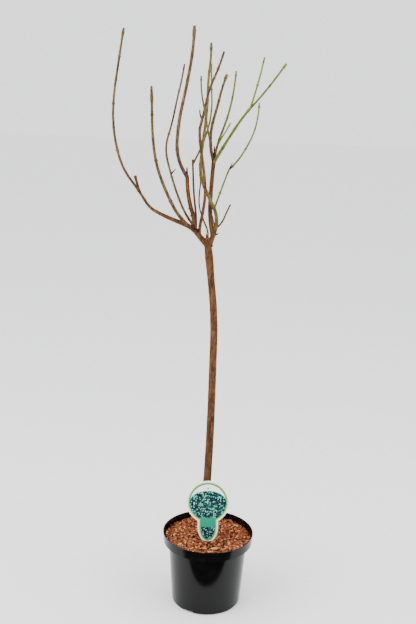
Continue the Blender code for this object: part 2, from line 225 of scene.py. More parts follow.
# name: carrier, foot share, length, foot width, tip width, leans, backs, bark, green at foot and tip
LIMBS = {
    "left_bough": ("trunk", 0.98, 0.204, 0.0150, 0.0066, (-46, -39, -69, -68, -63, -31), (-2, -6, 4),
                   "old_bark", (0, 0)),
    "right_bough": ("trunk", 0.97, 0.059, 0.0140, 0.0115, (15, 20, 10), (4,), "old_bark", (0, 0.1)),
    "tall_shoot_lower": ("left_bough", 0.27, 0.142, 0.0108, 0.0096, (4, -18, -9, -1), (-8,),
                         "old_bark", (0, 0)),
    "tall_shoot_upper": ("tall_shoot_lower", 1.00, 0.374, 0.0086, 0.0066, (-37, 2, 12, 9, 0), (-8, -4),
                         "young_bark", (0, 0.05)),
    "far_left_shoot": ("left_bough", 1.00, 0.445, 0.0062, 0.0052, (-34, -39, -18, -8, 2, 8, 8, 9), (6, 4, 0),
                       "young_bark", (0, 0.12)),
    "far_left_stub": ("far_left_shoot", 0.05, 0.048, 0.0056, 0.0062, (-20, -11), (-16,), "old_bark", (0, 0)),
    "outer_left_shoot": ("left_bough", 0.34, 0.391, 0.0086, 0.0052, (-48, -26, -20, -7, -1, -2),
                         (-22, -16, -10), "young_bark", (0, 0.1)),
    "brown_shoot_lower": ("left_bough", 0.17, 0.283, 0.0076, 0.0062, (0, 11, 5, -5, -9, -10, 1),
                          (-14, -10, -8), "old_bark", (0, 0)),
    "brown_shoot_upper": ("brown_shoot_lower", 1.00, 0.206, 0.0060, 0.0044, (14, 10, 23, 15), (-24, -20),
                          "young_bark", (0, 0)),
    "mid_left_shoot": ("tall_shoot_lower", 0.07, 0.443, 0.0060, 0.0041, (-44, -26, -20, -16, 16, 10, 12, 7),
                       (20, 18, 10), "young_bark", (0, 0.12)),
    "inner_left_lower": ("left_bough", 0.24, 0.184, 0.0050, 0.0044, (3, -9, -4, -3), (12, 8),
                         "old_bark", (0.1, 0.2)),
    "inner_left_upper": ("inner_left_lower", 0.94, 0.277, 0.0043, 0.0037, (29, 17, -4, -1), (24, 20),
                         "young_bark", (0, 0.8)),
    "thin_centre_shoot": ("trunk", 1.00, 0.170, 0.0042, 0.0028, (9, -26, -21, -2, 7, -16), (10, 6),
                          "old_bark", (0, 0)),
    "right_stem": ("right_bough", 0.61, 0.192, 0.0110, 0.0100, (-16, -5, 2, 3, 5), (10, 8),
                   "old_bark", (0, 0)),
    "olive_shoot": ("right_bough", 0.88, 0.477, 0.0090, 0.0050, (18, -27, -25, 3, 6, 5, -1, 6, -3),
                    (-6, 4, 8, 8), "young_bark", (0.22, 0.25)),
    "right_inner_shoot": ("right_stem", 0.99, 0.228, 0.0080, 0.0052, (-20, -1, 15, 12, 20), (-8, -12),
                          "young_bark", (0, 0.15)),
    "right_branch": ("right_stem", 0.98, 0.174, 0.0080, 0.0052, (29, 29, 31, 38), (-16, -18),
                     "young_bark", (0.35, 0.6)),
    "right_branch_outer": ("right_branch", 1.00, 0.145, 0.0047, 0.0042, (41, 35, 33), (-22,),
                           "young_bark", (0.35, 0.75)),
    "right_branch_inner": ("right_branch", 1.00, 0.126, 0.0040, 0.0035, (16, 14, 10), (2,),
                           "young_bark", (0.9, 1.0)),
    "right_mid_shoot": ("right_stem", 1.00, 0.242, 0.0060, 0.0042, (8, 21, 11, 3), (20, 16),
                        "young_bark", (0, 0.85)),
    "small_right_shoot": ("right_mid_shoot", 0.17, 0.068, 0.0036, 0.0030, (25, 31, 24), (-8,),
                          "young_bark", (0.5, 1.0)),
    "right_dead_stub": ("right_stem", 0.99, 0.041, 0.0044, 0.0026, (2, -2), (-14,), "dead_wood", (0, 0)),
    "pale_centre_shoot": ("right_inner_shoot", 0.18, 0.195, 0.0042, 0.0035, (-12, -13, -12, 0), (30, 24),
                          "young_bark", (0.1, 0.2)),
    "right_outer_lower": ("olive_shoot", 0.12, 0.112, 0.0042, 0.0038, (20, 19, 22), (22,),
                          "young_bark", (0.4, 0.5)),
    "right_outer_upper": ("right_outer_lower", 1.00, 0.193, 0.0042, 0.0036, (49, 33, 25, 10, 1), (14, 16),
                          "young_bark", (0.3, 0.9)),
    "right_spur": ("right_bough", 0.93, 0.080, 0.0044, 0.0034, (53, 19, 24), (-14,), "old_bark", (0, 0.2)),
}

# the same for each twig, without the green
TWIGS = {
    "tall_dead_stub": ("tall_shoot_lower", 1.00, 0.024, 0.0046, 0.0030, (-3,), (-14,), "dead_wood"),
    "mid_left_twig": ("mid_left_shoot", 0.34, 0.018, 0.0032, 0.0020, (38,), (-10,), "dead_wood"),
    "right_outer_twig": ("right_outer_lower", 1.00, 0.020, 0.0022, 0.0012, (22,), (-10,), "dead_wood"),
    "right_outer_twiglet": ("right_outer_lower", 1.00, 0.014, 0.0020, 0.0012, (58,), (-20,), "dead_wood"),
    "brown_side_stub": ("brown_shoot_upper", 0.12, 0.026, 0.0034, 0.0026, (-30, 0), (-20,), "old_bark"),
    "red_side_stub": ("right_bough", 0.90, 0.040, 0.0030, 0.0022, (-12, -10), (-18,), "old_bark"),
    "bough_bud": ("right_bough", 0.60, 0.016, 0.0046, 0.0026, (62,), (-12,), "dead_wood"),
    "trunk_bud": ("trunk", 0.975, 0.015, 0.0046, 0.0026, (68,), (-20,), "dead_wood"),
    "fork_knob": ("trunk", 0.995, 0.020, 0.0080, 0.0066, (-6,), (-22,), "old_bark"),
    "cluster_knob_left": ("left_bough", 0.26, 0.018, 0.0078, 0.0060, (-18,), (-40,), "dead_wood"),
    "cluster_knob_right": ("left_bough", 0.22, 0.016, 0.0070, 0.0050, (12,), (-46,), "dead_wood"),
    "cluster_bud": ("tall_shoot_lower", 0.38, 0.010, 0.0040, 0.0026, (-58,), (-20,), "dead_wood"),
    "cluster_bud_upper": ("tall_shoot_lower", 0.24, 0.010, 0.0040, 0.0026, (-60,), (-20,), "dead_wood"),
}


def walk(foot, length, leans, backs):
    """Points along a limb that starts at its foot and turns through its leans."""
    steps = max(6, round(length / WALK_STEP))
    points = [Vector(foot)]
    for i in range(steps):
        share = (i + 0.5) / steps
        lean = radians(np.interp(share, np.linspace(0, 1, len(leans)), leans))
        back = radians(np.interp(share, np.linspace(0, 1, len(backs)), backs))
        heading = Vector((sin(lean) * cos(back), sin(back), cos(lean) * cos(back)))
        points.append(points[-1] + heading * (length / steps))
    return points


def point_at(points, share):
    """The point at a share of a limb's length."""
    spot = share * (len(points) - 1)
    index = min(int(spot), len(points) - 2)
    return points[index].lerp(points[index + 1], spot - index)


walked = {"trunk": walk(TRUNK_FOOT, TRUNK_LENGTH, TRUNK_LEANS, (0,))}
for name, (carrier, share, length, _, _, leans, backs, *_) in {**LIMBS, **TWIGS}.items():
    walked[name] = walk(point_at(walked[carrier], share), length, leans, backs)
print(len(walked), "limbs and twigs walked")

# %% [markdown]
# ## Skins with relief
# A skin is a tube of fine rings round the walked path. Its radius tapers, swells at the collar where it
# leaves its carrier and at each leaf node, and has low lengthwise ridges from noise. The last rings
# close in a blunt dome, as a pruned or resting tip does. Thin wood against a bright background looks
# thinner than it is, so the bark lies a third of a millimetre outside the solids.

# %% Skin maker
NODE_SPACING = 0.058
NODE_SWELL = 0.13
NODE_REACH = 0.0042
TIP_TO_NODE = 0.010
LOWEST_NODE = 0.02
BARK_THICKNESS = 0.00035
COLLAR_SWELL = 0.22
COLLAR_REACH = 0.010
# rise and reach of a tip's last two rings, in tip radii
TIP_DOME = ((0.22, 0.86), (0.36, 0.5))
# ridges in a metre, across and along
COARSE_RIDGES = (420, 70)
FINE_RIDGES = (900, 260)
FINE_SHARE = 0.5
# a limb as slim as this has half the relief
SLIM_REACH = 0.002
# sides, spacing of the rings and height of the ridges
TRUNK_SURFACE = (28, 0.003, 0.0005)
LIMB_SURFACE = (16, 0.0025, 0.0003)
TWIG_SURFACE = (10, 0.002, 0.0003)


def node_places(length):
    """Where the leaf nodes lie on a shoot, from a little under its tip downwards."""
    first = length - TIP_TO_NODE
    places = [first - i * NODE_SPACING for i in range(int(first / NODE_SPACING) + 1)]
    return [place for place in places if place > LOWEST_NODE]


# name: share of the length, reach and height of a swelling that an old bud or scar left
KNUCKLES = {"outer_left_shoot": (0.93, 0.011, 0.45), "tall_shoot_upper": (0.95, 0.007, 0.25),
            "right_inner_shoot": (0.97, 0.006, 0.35), "brown_shoot_upper": (0.79, 0.004, 0.40),
            "far_left_shoot": (0.97, 0.006, 0.30), "right_branch_outer": (0.99, 0.006, 0.30),
            "olive_shoot": (0.97, 0.006, 0.30), "right_branch": (0.97, 0.005, 0.25),
            "far_left_stub": (0.95, 0.005, 0.20), "right_stem": (0.97, 0.006, 0.12)}


def limb_radius(length, foot_width, tip_width, has_nodes, knuckle=None):
    """A function from the distance along a limb to its radius."""
    nodes = node_places(length) if has_nodes else []
    place, reach, height = knuckle or (0, 1, 0)

    def radius(distance):
        share = distance / length
        plain = (foot_width + share * (tip_width - foot_width)) / 2 + BARK_THICKNESS
        swell = COLLAR_SWELL * exp(-distance / COLLAR_REACH)
        swell += sum(NODE_SWELL * exp(-((distance - node) / NODE_REACH) ** 2) for node in nodes)
        swell += height * exp(-((share - place) * length / reach) ** 2)
        return plain * (1 + swell)
    return radius


def trunk_radius(distance):
    """The trunk's radius with its taper, root flare and graft swelling."""
    width = TRUNK_FOOT_WIDTH + distance / TRUNK_LENGTH * (TRUNK_TOP_WIDTH - TRUNK_FOOT_WIDTH)
    width += FLARE_WIDTH * exp(-distance / FLARE_HEIGHT)
    width += UNION_WIDTH * exp(-((distance - UNION_HEIGHT) / UNION_SPREAD) ** 2)
    return width / 2 + BARK_THICKNESS


def ridge(spot, per_metre):
    """Noise at a point, squeezed so that its ridges run upwards."""
    across, along = per_metre
    return noise.noise(Vector((spot.x * across, spot.y * across, spot.z * along)))


def skin(name, path, length, radius, sides, spacing, relief, growth, finish):
    """A closed bark tube round a path, with ridges of a given height."""
    count = max(4, round(length / spacing))
    rows = [(point_at(path, i / count), radius(i / count * length)) for i in range(count + 1)]
    tip, tip_radius = rows[-1]
    heading = (path[-1] - path[-2]).normalized()
    rows += [(tip + heading * (tip_radius * rise), tip_radius * reach) for rise, reach in TIP_DOME]
    shape = bmesh.new()
    growing = shape.verts.layers.float.new("growth")
    side = Vector((0, 1, 0))
    loops = []
    for i, (centre, reach) in enumerate(rows):
        ahead = rows[min(i + 1, len(rows) - 1)][0] - rows[max(i - 1, 0)][0]
        ahead.normalize()
        side = (side - ahead * side.dot(ahead)).normalized()
        other = ahead.cross(side)
        loop = []
        for j in range(sides):
            angle = 2 * pi * j / sides
            out = side * cos(angle) + other * sin(angle)
            surface = centre + out * reach
            height = ridge(surface, COARSE_RIDGES) + FINE_SHARE * ridge(surface, FINE_RIDGES)
            vertex = shape.verts.new(surface + out * (height * relief * reach / (reach + SLIM_REACH)))
            vertex[growing] = growth[0] + min(i / count, 1) * (growth[1] - growth[0])
            loop.append(vertex)
        loops.append(loop)
    for lower, upper in zip(loops, loops[1:]):
        for j in range(sides):
            shape.faces.new((lower[j], lower[(j + 1) % sides], upper[(j + 1) % sides], upper[j]))
    shape.faces.new(list(reversed(loops[0])))
    shape.faces.new(loops[-1])
    bmesh.ops.recalc_face_normals(shape, faces=shape.faces)
    mesh = bpy.data.meshes.new(name)
    shape.to_mesh(mesh)
    shape.free()
    mesh.shade_smooth()
    mesh.materials.append(finish)
    piece = bpy.data.objects.new(name, mesh)
    bpy.context.scene.collection.objects.link(piece)
    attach(piece, "root")
    return piece


print("leaf nodes on a long shoot:", len(node_places(0.445)))

# %% [markdown]
# ## The trunk and its limbs
# The trunk and the low limbs are two-year wood, and the shoots above them grew in the last summer. Each
# skin takes the place of one solid, so the trunk, every bough and every shoot stays a piece of its own.
# The trunk is nearest to the eye and has the most sides.

# %% Trunk, boughs and shoots
trunk = skin("trunk_skin", walked["trunk"], TRUNK_LENGTH, trunk_radius, *TRUNK_SURFACE, (0, 0),
             finishes["old_bark"])
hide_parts("trunk")
for name, (_, _, length, foot_width, tip_width, _, _, bark, growth) in LIMBS.items():
    radius = limb_radius(length, foot_width, tip_width, bark == "young_bark", KNUCKLES.get(name))
    piece = skin(name + "_skin", walked[name], length, radius, *LIMB_SURFACE, growth, finishes[bark])
    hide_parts(name)
print(len(LIMBS) + 1, "skins")

# %% [markdown]
# ## Twigs and stubs
# Where a twig died or was cut back, a short stub stays. They are many and small, so each kind is made
# with the limbs' own skin maker and joined into one piece.

# %% Twigs
def joined(name, parts):
    """Join pieces into one mesh that rides with the root."""
    bpy.ops.object.select_all(action="DESELECT")
    for part in parts:
        part.select_set(True)
    bpy.context.view_layer.objects.active = parts[0]
    bpy.ops.object.join()
    parts[0].name = name
    parts[0].data.name = name
    return parts[0]


for bark in ("old_bark", "dead_wood"):
    parts = []
    for name, (_, _, length, foot_width, tip_width, _, _, kind) in TWIGS.items():
        if kind == bark:
            radius = limb_radius(length, foot_width, tip_width, False)
            parts.append(skin(name, walked[name], length, radius, *TWIG_SURFACE, (0, 0), finishes[bark]))
    print("joined", len(parts), "twigs as", joined("twigs_" + bark, parts).name)

# %% [markdown]
# ## A scatter made with Geometry Nodes
# Chips and printed leaves repeat one small shape many times. A node tree spreads points on a
# surface, sets the shape on each with a random turn and size, and realizes the result into a plain mesh.

# %% Scatter tree
def scatter_tree(name, shape, material):
    """A tree that spreads one shape on a surface, with named inputs for its sizes."""
    tree = bpy.data.node_groups.new(name, "GeometryNodeTree")
    face = tree.interface
    face.new_socket("Geometry", in_out="INPUT", socket_type="NodeSocketGeometry")
    for label in ("Density", "Smallest", "Largest", "Tilt", "Lift"):
        face.new_socket(label, in_out="INPUT", socket_type="NodeSocketFloat")
    face.new_socket("Seed", in_out="INPUT", socket_type="NodeSocketInt")
    face.new_socket("Geometry", in_out="OUTPUT", socket_type="NodeSocketGeometry")
    given = add(tree, "NodeGroupInput").outputs
    points = add(tree, "GeometryNodeDistributePointsOnFaces", inputs={
        "Mesh": given["Geometry"], "Density": given["Density"], "Seed": given["Seed"]})
    height = add(tree, "FunctionNodeRandomValue", {"data_type": "FLOAT"}, {
        2: 0.0, 3: given["Lift"], "Seed": given["Seed"]}).outputs[1]
    rise = add(tree, "ShaderNodeCombineXYZ", inputs={"Z": height}).outputs[0]
    lifted = add(tree, "GeometryNodeSetPosition", inputs={
        "Geometry": points.outputs["Points"], "Offset": rise})
    back = add(tree, "ShaderNodeMath", {"operation": "MULTIPLY"}, {0: given["Tilt"], 1: -1.0}).outputs[0]
    lowest = add(tree, "ShaderNodeCombineXYZ", inputs={"X": back, "Y": back, "Z": 0.0}).outputs[0]
    highest = add(tree, "ShaderNodeCombineXYZ", inputs={"X": given["Tilt"], "Y": given["Tilt"], "Z": 2 * pi})
    turn = add(tree, "FunctionNodeRandomValue", {"data_type": "FLOAT_VECTOR"}, {
        0: lowest, 1: highest.outputs[0], "Seed": given["Seed"]}).outputs[0]
    turned = add(tree, "FunctionNodeEulerToRotation", inputs={0: turn}).outputs[0]
    size = add(tree, "FunctionNodeRandomValue", {"data_type": "FLOAT_VECTOR"}, {
        0: given["Smallest"], 1: given["Largest"], "Seed": given["Seed"]}).outputs[0]
    model = add(tree, "GeometryNodeObjectInfo", inputs={"Object": shape}).outputs["Geometry"]
    placed = add(tree, "GeometryNodeInstanceOnPoints", inputs={
        "Points": lifted.outputs[0], "Instance": model, "Rotation": turned, "Scale": size})
    real = add(tree, "GeometryNodeRealizeInstances", inputs={"Geometry": placed.outputs[0]})
    painted = add(tree, "GeometryNodeSetMaterial", inputs={"Geometry": real.outputs[0], "Material": material})
    add(tree, "NodeGroupOutput", inputs={"Geometry": painted.outputs[0]})
    return tree


def scattered(name, ground, shape, material, **sizes):
    """Spread a shape on a ground mesh and keep the result as a plain mesh object."""
    holder = bpy.data.objects.new("ground_of_" + name, ground)
    bpy.context.scene.collection.objects.link(holder)
    modifier = holder.modifiers.new("scatter", "NODES")
    tree = scatter_tree("scatter_" + name, shape, material)
    modifier.node_group = tree
    for item in tree.interface.items_tree:
        if item.in_out == "INPUT" and item.name in sizes:
            modifier[item.identifier] = sizes[item.name]
    bpy.context.view_layer.update()
    result = bpy.data.meshes.new_from_object(holder.evaluated_get(bpy.context.evaluated_depsgraph_get()))
    result.name = name
    bpy.data.objects.remove(holder)
    piece = bpy.data.objects.new(name, result)
    bpy.context.scene.collection.objects.link(piece)
    print(name, len(result.polygons), "faces")
    return piece


def shard(name, length, width, thickness, taper):
    """A small six-sided flake, wedge-ended like a splinter or a leaf."""
    outline = [(-0.5, 0), (-0.2, -0.5), (0.25, -0.5 * taper), (0.5, 0.05), (0.2, 0.5), (-0.25, 0.5 * taper)]
    corners = [(x * length, y * width, z * thickness) for z in (-0.5, 0.5) for x, y in outline]
    sides = [(i, (i + 1) % 6, (i + 1) % 6 + 6, i + 6) for i in range(6)]
    mesh = bpy.data.meshes.new(name)
    mesh.from_pydata(corners, [], [tuple(reversed(range(6))), tuple(range(6, 12)), *sides])
    flake = bpy.data.objects.new(name, mesh)
    bpy.context.scene.collection.objects.link(flake)
    return flake


print("scatter ready")

# %% [markdown]
# ## The pot
# It is injection-moulded polypropylene, coloured right through with carbon black. The mould's fine
# texture breaks its gloss a little, and handling leaves faint dust, so its mirror images are soft and
# their brightness varies. The CAD solid's shape is right, so a merged copy of it with small rounded edges
# takes its place.

# %% Pot
POT_EDGE = 0.0009
POT_ROUGHNESS = 0.14
POT_GLOSS = 0.20
POLYPROPYLENE_IOR = 1.49
DUST_PATCH_MM = 45.5
# drawn coarser than the real texture, which is too fine to show
MOULD_GRAIN_MM = 1.11
MOULD_GRAIN_DEPTH_MM = 0.03
SHARP_ANGLE = radians(30)


def moulded_polypropylene():
    """Black moulded plastic, satin, a little dusty."""
    material, tree, shader, spot = new_finish("black_polypropylene", POT_ROUGHNESS, POT_GLOSS,
                                              POLYPROPYLENE_IOR)
    dust = add(tree, "ShaderNodeTexNoise", inputs={
        "Vector": spot, "Scale": 1 / (DUST_PATCH_MM * MM), "Detail": 6, "Roughness": 0.65})
    colour = ramp(tree, dust.outputs["Fac"], [(0.35, "050506"), (0.62, "09090A"), (0.85, "141312")])
    tree.links.new(colour, shader.inputs["Base Color"])
    rough = add(tree, "ShaderNodeMapRange", inputs={
        "Value": dust.outputs["Fac"], "From Min": 0.3, "From Max": 0.8, "To Min": 0.10, "To Max": 0.20})
    tree.links.new(rough.outputs["Result"], shader.inputs["Roughness"])
    grain = add(tree, "ShaderNodeTexNoise", inputs={
        "Vector": spot, "Scale": 1 / (MOULD_GRAIN_MM * MM), "Detail": 2})
    bumped(tree, shader, grain.outputs["Fac"], MOULD_GRAIN_DEPTH_MM * MM)
    return material


shape = bmesh.new()
shape.from_mesh(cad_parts["pot"].data)
bmesh.ops.remove_doubles(shape, verts=shape.verts, dist=0.00001)
bmesh.ops.dissolve_limit(shape, angle_limit=radians(0.5), verts=shape.verts, edges=shape.edges)
pot_mesh = bpy.data.meshes.new("pot_shell")
shape.to_mesh(pot_mesh)
shape.free()
pot_mesh.shade_smooth()
pot_mesh.set_sharp_from_angle(angle=SHARP_ANGLE)
pot_mesh.materials.clear()
pot_mesh.materials.append(moulded_polypropylene())
pot = bpy.data.objects.new("pot_shell", pot_mesh)
bpy.context.scene.collection.objects.link(pot)
edges = pot.modifiers.new("edges", "BEVEL")
edges.width = POT_EDGE
edges.segments = 2
edges.limit_method = "ANGLE"
edges.angle_limit = SHARP_ANGLE
even = pot.modifiers.new("even_shading", "WEIGHTED_NORMAL")
even.keep_sharp = True
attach(pot, "root")
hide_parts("pot")
print("pot faces", len(pot_mesh.polygons))

# %% [markdown]
# ## Loose bark and its bed
# The pot is filled with composted pine bark. The solid mix keeps its shape under a dark, damp finish. A
# gently uneven disc over it, with gaps for the trunk and the label, is the ground that chips will lie on.

# %% Damp bark and the bed
SOIL_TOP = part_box("soil")[1][2]
BED_RADIUS = 0.1185
TRUNK_CLEARANCE = 0.0165
LABEL_CLEARANCE = 0.0040
LABEL_HALF_FOOT = 0.013
LABEL_Y = -0.0231
BED_UNEVENNESS = 0.0012
BED_WAVES = 30
GRAIN_DEPTH_MM = 0.5


def rough_finish(name, hex_dark, hex_light, roughness, grain_mm):
    """A matt, grainy natural surface between two colours."""
    material, tree, shader, spot = new_finish(name, roughness, MATT_GLOSS)
    grain = add(tree, "ShaderNodeTexNoise", inputs={
        "Vector": spot, "Scale": 1 / (grain_mm * MM), "Detail": 4})
    colour = ramp(tree, grain.outputs["Fac"], [(0.35, hex_dark), (0.65, hex_light)])
    tree.links.new(colour, shader.inputs["Base Color"])
    bumped(tree, shader, grain.outputs["Fac"], GRAIN_DEPTH_MM * MM)
    return material


def plain_finish(name, hex_colour, roughness):
    """One even colour, for pieces whose colours are dealt out by group."""
    material, _, shader, _ = new_finish(name, roughness, SOFT_GLOSS)
    shader.inputs["Base Color"].default_value = linear(hex_colour)
    return material


damp_fines = rough_finish("damp_bark_fines", "1E0E07", "4E2A17", 0.95, 2.5)
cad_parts["soil"].material_slots[0].material = damp_fines

bed = bmesh.new()
bmesh.ops.create_circle(bed, cap_ends=True, cap_tris=True, segments=64, radius=BED_RADIUS)
bmesh.ops.subdivide_edges(bed, edges=bed.edges, cuts=11, use_grid_fill=True)
for vertex in bed.verts:
    vertex.co.z = SOIL_TOP + BED_UNEVENNESS * noise.noise(vertex.co * BED_WAVES)
bed_mesh = bpy.data.meshes.new("bed")
crowded = [face for face in bed.faces
           if (face.calc_center_median().xy - TRUNK_FOOT.xy).length < TRUNK_CLEARANCE
           or (abs(face.calc_center_median().y - LABEL_Y) < LABEL_CLEARANCE
               and abs(face.calc_center_median().x) < LABEL_HALF_FOOT)]
bmesh.ops.delete(bed, geom=crowded, context="FACES")
bed.to_mesh(bed_mesh)
bed.free()
print("bed faces", len(bed_mesh.polygons))

# %% [markdown]
# ## The bark chips
# Chips of five to fourteen millimetres lie flat or a little tilted. Each chip has one colour, as a split
# piece of bark nearly does, and the mix gets its variety from four groups: more of the browns, and fewer
# of the dark and the pale.

# %% Chips
CHIP_LENGTH = 0.0110
CHIP_WIDTH = 0.0042
CHIP_THICKNESS = 0.0019
CHIP_TILT = 0.55
CHIP_LIFT = 0.0026

chip = shard("chip", CHIP_LENGTH, CHIP_WIDTH, CHIP_THICKNESS, 0.8)
# colour, chips in a square metre, seed
CHIP_GROUPS = {
    "chips_red_brown": ("944E28", 27000, 1),
    "chips_brown": ("713A1C", 22000, 2),
    "chips_dark": ("2A1209", 16000, 3),
    "chips_pale": ("CC9060", 9500, 4),
}
for name, (hex_colour, density, seed) in CHIP_GROUPS.items():
    finish = plain_finish("pine_bark_" + name, hex_colour, 0.85)
    piece = scattered(name, bed_mesh, chip, finish, Density=density, Smallest=0.45, Largest=1.3,
                      Tilt=CHIP_TILT, Lift=CHIP_LIFT, Seed=seed)
    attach(piece, "root")
bpy.data.objects.remove(chip)

# %% [markdown]
# ## Long pale chips
# A few long splinters of pale wood lie in front, where the eye finds them. They are too few for a
# scatter, so each is the same small shard at a size and place of its own.

# %% Long chips
LONG_CHIP_THICKNESS = 0.0024
LONG_CHIP_TAPER = 0.7
LONG_CHIP_LIFT = 0.0030
LONG_CHIP_TILT = 14
# x, y, turn in degrees, length and width
LONG_CHIPS = ((0.019, -0.070, 8, 0.026, 0.008), (-0.012, -0.072, -16, 0.016, 0.006),
              (-0.078, -0.052, 38, 0.018, 0.006), (0.006, -0.088, 14, 0.014, 0.005),
              (0.052, -0.060, -28, 0.015, 0.005))

pale_wood = rough_finish("split_pine", "9A6440", "D4A276", 0.85, 2.0)
for number, (x, y, turn, length, width) in enumerate(LONG_CHIPS):
    piece = shard(f"long_chip_{number + 1}", length, width, LONG_CHIP_THICKNESS, LONG_CHIP_TAPER)
    turned = Matrix.Rotation(radians(turn), 4, "Z") @ Matrix.Rotation(radians(LONG_CHIP_TILT), 4, "X")
    piece.data.transform(Matrix.Translation((x, y, SOIL_TOP + LONG_CHIP_LIFT)) @ turned)
    piece.data.materials.append(pale_wood)
    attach(piece, "root")
print(len(LONG_CHIPS), "long chips")

# %% [markdown]
# ## The plant label's plane
# A die-cut white PVC card, an oval over a tongue, leans back a little. Its print is drawn flat, with X to
# the side and Y up the card, and one matrix lays it on the card's face. The outline is worked out from
# the card's few sizes, and an inset draws it in for each ink.

# %% Label's plane and outline
LABEL_LEAN_BACK = 3.5
LABEL_LEAN_LEFT = 1.5
OVAL_HALF_WIDTH = 0.0595
OVAL_HALF_HEIGHT = 0.0625
OVAL_MIDDLE = 0.1155
TONGUE_HALF_WIDTH = 0.0285
TONGUE_STRAIGHT = 0.0420
TONGUE_DROP = 0.0457
HOLE_RADIUS = 0.0022
HOLE_HEIGHT = 0.156

lean = radians(LABEL_LEAN_BACK)
left = radians(LABEL_LEAN_LEFT)
upright = Vector((0, sin(lean), cos(lean)))
label_up = upright * cos(left) - Vector((1, 0, 0)) * sin(left)
label_side = Vector((1, 0, 0)) * cos(left) + upright * sin(left)
label_facing = label_side.cross(label_up)
label_turn = Matrix((label_side, label_up, label_facing)).transposed().to_4x4()
label_place = Matrix.Translation(Vector((0, LABEL_Y, SOIL_TOP))) @ label_turn


def oval(inset, start, end, steps, half_height=None, half_width=None):
    """Points on the card's oval, drawn in by an inset, between two angles."""
    width = half_width or OVAL_HALF_WIDTH - inset
    height = half_height or OVAL_HALF_HEIGHT - inset
    angles = np.linspace(start, end, steps)
    return [(width * cos(angle), OVAL_MIDDLE + height * sin(angle)) for angle in angles]


def tongue_end(inset, top):
    """Points round the tongue's foot, from its left side to its right."""
    width = TONGUE_HALF_WIDTH - inset
    angles = np.linspace(pi, 2 * pi, 24)
    return [(width * cos(angle), top + (TONGUE_DROP - inset) * sin(angle)) for angle in angles]


def card_outline(inset):
    """The whole printed outline, drawn in from the card's edge."""
    waist = asin((TONGUE_HALF_WIDTH - inset) / (OVAL_HALF_WIDTH - inset)) - pi / 2
    return oval(inset, waist, pi - waist, 48) + tongue_end(inset, TONGUE_STRAIGHT)


print("points round the card", len(card_outline(0)))

# %% [markdown]
# ## The label's inks
# The print is generic: a thin yellow-green line, a teal field, a pale crescent, a short dark arc and a
# shade for foliage. Offset inks lie flat and even, so each is one plain colour, in its own very thin
# layer a little above the last.

# %% Inks
INK_THICKNESS = 0.00006
HOLE_MARGIN = 1.02
HOLE_SIDES = 16


def ink(name, outline, layer, finish, with_hole=True):
    """A thin filled outline on the card's face; layer counts outwards from the card."""
    curve = bpy.data.curves.new(name, "CURVE")
    curve.dimensions = "2D"
    curve.fill_mode = "BOTH"
    curve.extrude = INK_THICKNESS / 2
    turns = [2 * pi * i / HOLE_SIDES for i in range(HOLE_SIDES)]
    reach = HOLE_MARGIN * HOLE_RADIUS
    hole = [(reach * cos(turn), HOLE_HEIGHT + reach * sin(turn)) for turn in turns]
    for points in ([outline, hole] if with_hole else [outline]):
        spline = curve.splines.new("POLY")
        spline.points.add(len(points) - 1)
        for corner, (x, y) in zip(spline.points, points):
            corner.co = (x, y, 0, 1)
        spline.use_cyclic_u = True
    guide = bpy.data.objects.new(name, curve)
    bpy.context.scene.collection.objects.link(guide)
    bpy.context.view_layer.update()
    mesh = bpy.data.meshes.new_from_object(guide.evaluated_get(bpy.context.evaluated_depsgraph_get()))
    bpy.data.objects.remove(guide)
    mesh.transform(label_place @ Matrix.Translation((0, 0, INK_THICKNESS * (layer + 0.6))))
    mesh.materials.clear()
    mesh.materials.append(finish)
    piece = bpy.data.objects.new(name, mesh)
    bpy.context.scene.collection.objects.link(piece)
    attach(piece, "root")
    return piece


card_finish = plain_finish("white_pvc_card", "F2F3EC", 0.38)
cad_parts["label"].material_slots[0].material = card_finish
LINE_INSET = 0.0042
FIELD_INSET = 0.0067
CRESCENT_INSET = 0.0105
BAND_INSETS = (0.0075, 0.0092)
ARC_POINTS = 40
FOLIAGE_HALF_WIDTH = 0.0515
FOLIAGE_HALF_HEIGHT = 0.0335
FOLIAGE_FOOT = 0.0690
TONGUE_FOLIAGE_TOP = 0.0420
CRESCENT_GAP = 0.002
LEAF_MARGIN = 0.0100
ink("print_line", card_outline(LINE_INSET), 0, plain_finish("yellow_green_ink", "A9BE14", 0.4))
ink("print_field", card_outline(FIELD_INSET), 1, plain_finish("teal_ink", "0E8A6C", 0.4))
crescent = oval(CRESCENT_INSET, radians(12), radians(168), ARC_POINTS)
crescent += oval(0, radians(150), radians(30), ARC_POINTS, FOLIAGE_HALF_HEIGHT, FOLIAGE_HALF_WIDTH)
ink("print_crescent", crescent, 2, card_finish)
band = oval(BAND_INSETS[0], radians(40), radians(140), ARC_POINTS)
band += oval(BAND_INSETS[1], radians(140), radians(40), ARC_POINTS)
ink("print_band", band, 2, plain_finish("dark_teal_ink", "125650", 0.4), with_hole=False)
foliage = oval(0, 0, pi, ARC_POINTS, FOLIAGE_HALF_HEIGHT - CRESCENT_GAP, OVAL_HALF_WIDTH - LEAF_MARGIN)
foliage += [(x, y) for x, y in oval(LEAF_MARGIN, pi, 2 * pi, ARC_POINTS) if y > FOLIAGE_FOOT]
tongue = tongue_end(LEAF_MARGIN, TONGUE_FOLIAGE_TOP)
shade = plain_finish("shade_ink", "12303A", 0.4)
ink("print_crown_shade", foliage, 2, shade, with_hole=False)
ink("print_tongue_shade", tongue, 2, shade, with_hole=False)
print("ink layers laid")

# %% [markdown]
# ## Printed leaves
# The print's foliage is loose leaf shapes in three tones over the shade. The same scatter spreads them on
# the flat outlines, without tilt, and the card's matrix then lays them on its face.

# %% Leaves
LEAF_LENGTH = 0.0050
LEAF_WIDTH = 0.0030


